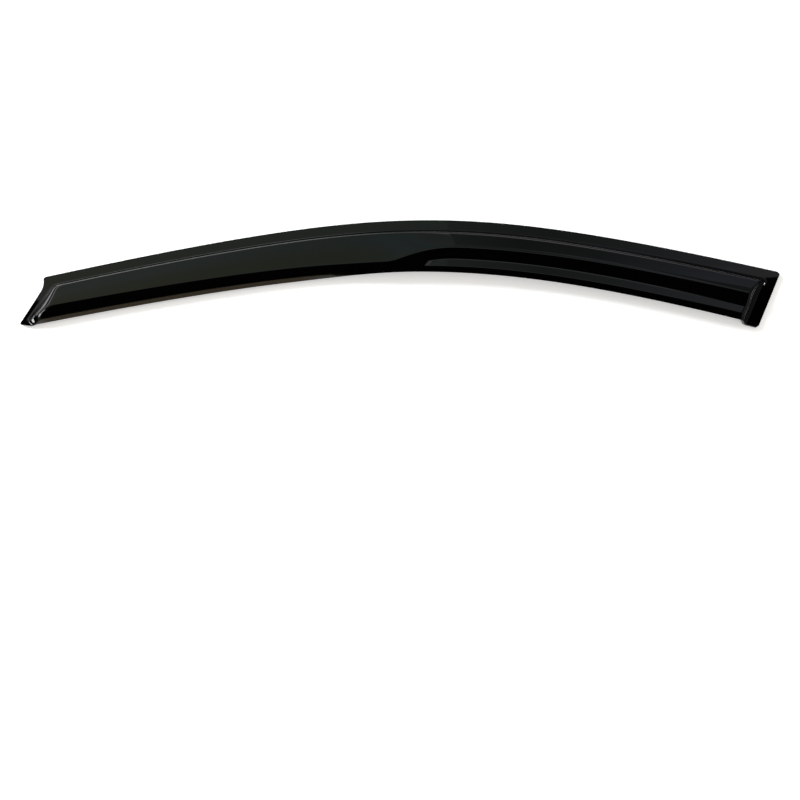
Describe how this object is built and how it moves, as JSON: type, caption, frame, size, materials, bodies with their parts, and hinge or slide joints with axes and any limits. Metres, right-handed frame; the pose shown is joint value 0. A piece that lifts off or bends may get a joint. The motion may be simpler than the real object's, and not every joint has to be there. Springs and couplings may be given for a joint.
{
  "type": "window rain deflector",
  "caption": "Long arched window visor of dark smoked plastic for a front door, with a taped flange, a stepped face and an outward wing at the rear.",
  "frame": {"origin": "centre of the outline's box, on the plane of the tape's back that goes on the door", "axes": "+X along the visor, from the front of the door to the rear; +Y across it, from the free edge to the flange's crown; +Z away from the door"},
  "size_m": [0.881, 0.1314, 0.0195],
  "materials": {
    "smoked_acrylic": "polished, dark smoked, almost opaque",
    "foam_tape": "matt foam"
  },
  "bodies": {
    "root": {"visor": "smoked_acrylic", "flange_tape": "foam_tape", "front_tape": "foam_tape", "rear_tape": "foam_tape"}
  },
  "joints": []
}
